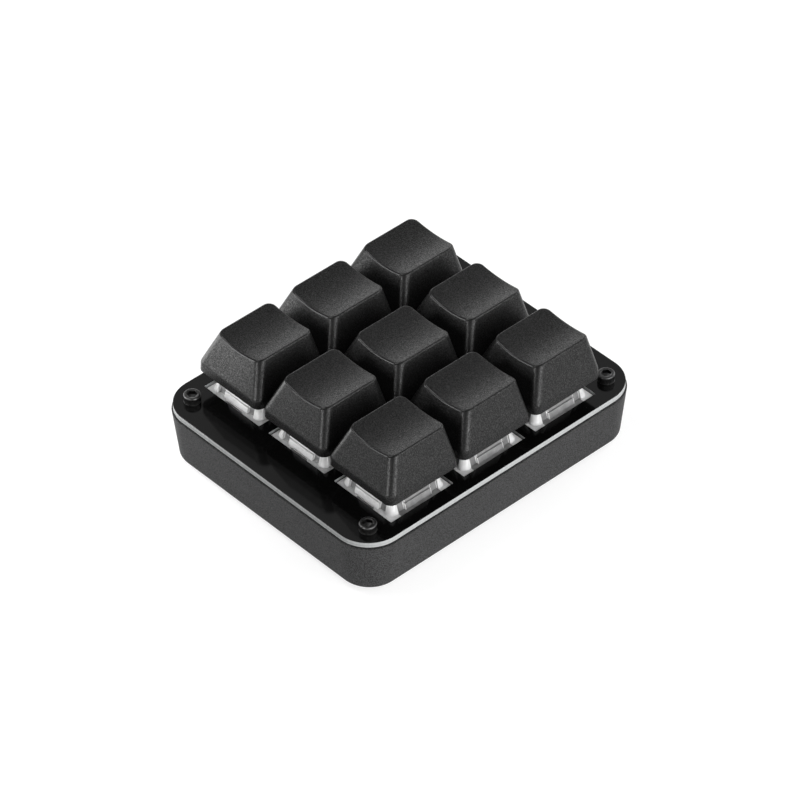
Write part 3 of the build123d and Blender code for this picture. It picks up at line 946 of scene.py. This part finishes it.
cap_plastic = cap_finish("keycap_plastic")
cross_outline = [
    (cross_half_bar, cross_half_bar),
    (cross_half_bar, cross_half_length),
    (-cross_half_bar, cross_half_length),
    (-cross_half_bar, cross_half_bar),
    (-cross_half_length, cross_half_bar),
    (-cross_half_length, -cross_half_bar),
    (-cross_half_bar, -cross_half_bar),
    (-cross_half_bar, -cross_half_length),
    (cross_half_bar, -cross_half_length),
    (cross_half_bar, -cross_half_bar),
    (cross_half_length, -cross_half_bar),
    (cross_half_length, cross_half_bar),
]
post_profile = ((cap_post_radius, cap_post_bottom), (cap_post_radius, cap_ceiling + cap_rim_round))
cross_heights = (cap_post_bottom - cap_rim_round, cap_post_bottom + cross_depth)
mesh = bmesh.new()
skin(mesh, cap_rings)
pattern_cap = as_object("keycap_pattern", mesh)
mesh = bmesh.new()
turned(mesh, post_profile, (0, 0), bore_steps)
carve(pattern_cap, as_object("post", mesh), "UNION")
mesh = bmesh.new()
skin(mesh, [[(x, y, height) for x, y in cross_outline] for height in cross_heights])
carve(pattern_cap, as_object("cross_slot", mesh), "DIFFERENCE")
for key in key_names:
    low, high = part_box(f"keycap_{key}")
    centre = (low + high) / 2
    data = pattern_cap.data.copy()
    data.transform(Matrix.Translation((centre.x, centre.y, low.z)))
    cap = bpy.data.objects.new(f"dished_keycap_{key}", data)
    bpy.context.scene.collection.objects.link(cap)
    fit_out(cap, cap_plastic, f"key_{key}", "keycap_plastic", f"keycap_{key}", sharp=cap_sharp)
bpy.data.objects.remove(pattern_cap)


# Studio: a floor of matt pale paper that runs out into a white surround.
# Soft boxes stand round the keypad: two small ones near its left, a broad one at its right, and others in
# front and behind.
floor_radius = 3.0
floor_lift = 0.72
floor_steps = 96
mottle_size = 0.05
ambient = 0.03
horizon_top = math.sin(math.radians(10))
horizon_end = math.sin(math.radians(45))
high_level = 0.4


def pale_floor(name):
    """Matt white paper. To the camera, and in reflections, it is lifted a little, so it reads as white."""
    material, shader, place = start_finish(name)
    path = place.make("ShaderNodeLightPath").output.node.outputs
    mirrored = Socket(path["Is Glossy Ray"]) + Socket(path["Is Transmission Ray"])
    seen = Socket(path["Is Camera Ray"]) + mirrored
    glow = place.make("ShaderNodeEmission", {}, {"Color": (1, 1, 1, 1), "Strength": floor_lift})
    mottle = place.noise(mottle_size).tint((0.34, 0.34, 0.34), (0.36, 0.36, 0.36))
    place.wire(shader, {"Base Color": mottle, "Roughness": 0.9})
    paper = Socket(shader.outputs[0])
    both = place.make("ShaderNodeAddShader", {}, {0: paper, 1: glow})
    mixed = place.make("ShaderNodeMixShader", {}, {0: seen, 1: paper, 2: both})
    place.wire(material.node_tree.nodes["Material Output"], {"Surface": mixed})
    return material


mesh = bmesh.new()
bmesh.ops.create_circle(mesh, cap_ends=True, segments=floor_steps, radius=floor_radius)
floor = as_object("floor", mesh)
floor.data.materials.append(pale_floor("floor_paper"))

world = bpy.data.worlds.new("surround")
bpy.context.scene.world = world
world.use_nodes = True
direction = Socket(world.node_tree.nodes.new("ShaderNodeTexCoord").outputs["Generated"])
path = direction.make("ShaderNodeLightPath").output.node.outputs
mirror_ray = Socket(path["Is Glossy Ray"]).larger(Socket(path["Is Transmission Ray"]))
horizon = direction.axes()[2].ramp(horizon_top, horizon_end, 1.0, high_level)
white = Socket(path["Is Camera Ray"]).larger(mirror_ray * horizon)
surround = {"Color": (1, 1, 1, 1), "Strength": white.between(ambient, 1)}
white.wire(world.node_tree.nodes["Background"], surround)


def soft_light(name, azimuth, elevation, distance, size, power):
    """A square soft box that faces the keypad. Azimuth 0 is in front of it and 90 to its right."""
    across = math.radians(azimuth)
    up = math.radians(elevation)
    toward = Vector((math.sin(across) * math.cos(up), -math.cos(across) * math.cos(up), math.sin(up)))
    data = bpy.data.lights.new(name, "AREA")
    data.size = size
    data.energy = power
    lamp = bpy.data.objects.new(name, data)
    lamp.location = toward * distance
    lamp.rotation_mode = "QUATERNION"
    lamp.rotation_quaternion = (-toward).to_track_quat("-Z", "Y")
    lamp.visible_camera = False
    bpy.context.scene.collection.objects.link(lamp)


soft_light("near_left_box", azimuth=-43, elevation=20, distance=0.082, size=0.03, power=0.0135)
soft_light("near_side_box", azimuth=-62, elevation=12, distance=0.082, size=0.03, power=0.0085)
soft_light("front_left_box", azimuth=-40, elevation=22, distance=0.9, size=0.2, power=1.7)
soft_light("front_high_box", azimuth=-58, elevation=62, distance=0.9, size=0.25, power=1.8)
soft_light("front_low_box", azimuth=5, elevation=11, distance=0.9, size=0.22, power=2.7)
soft_light("right_box", azimuth=98, elevation=22, distance=0.9, size=1.1, power=12.0)
soft_light("right_low_box", azimuth=82, elevation=6, distance=0.9, size=0.3, power=2.4)
soft_light("back_left_box", azimuth=240, elevation=15, distance=0.9, size=0.5, power=1.2)
soft_light("back_box", azimuth=175, elevation=28, distance=0.9, size=0.5, power=3.5)


# Camera: a long lens on a stand, which looks down on the keypad's front right corner.
# Its direction and its lens were fitted to corners of the keys, the cover and the case.
view_azimuth = math.radians(47.99)
view_elevation = math.radians(41.23)
view_roll = math.radians(-0.89)
view_distance = 1.0
view_shift_right = 0.00008
view_shift_up = -0.00196
pixels_per_metre = 5091.1
image_size = 800
level_length = math.cos(view_elevation)
back_x = math.sin(view_azimuth) * level_length
back_y = -math.cos(view_azimuth) * level_length
back = Vector((back_x, back_y, math.sin(view_elevation)))
level_right = Vector((math.cos(view_azimuth), math.sin(view_azimuth), 0))
level_up = back.cross(level_right)
right = level_right * math.cos(view_roll) + level_up * math.sin(view_roll)
up = level_up * math.cos(view_roll) - level_right * math.sin(view_roll)
aim = Vector((0, 0, cover_high.z))
lens = bpy.data.cameras.new("view")
lens.sensor_width = 36.0
lens.lens = lens.sensor_width * pixels_per_metre * view_distance / image_size
lens.clip_start = 0.01
lens.clip_end = 20.0
camera = bpy.data.objects.new("view", lens)
stand = aim + right * view_shift_right + up * view_shift_up + back * view_distance
camera.matrix_world = Matrix.Translation(stand) @ Matrix((right, up, back)).transposed().to_4x4()
bpy.context.scene.collection.objects.link(camera)
bpy.context.scene.camera = camera
bpy.context.scene.view_settings.view_transform = "Standard"
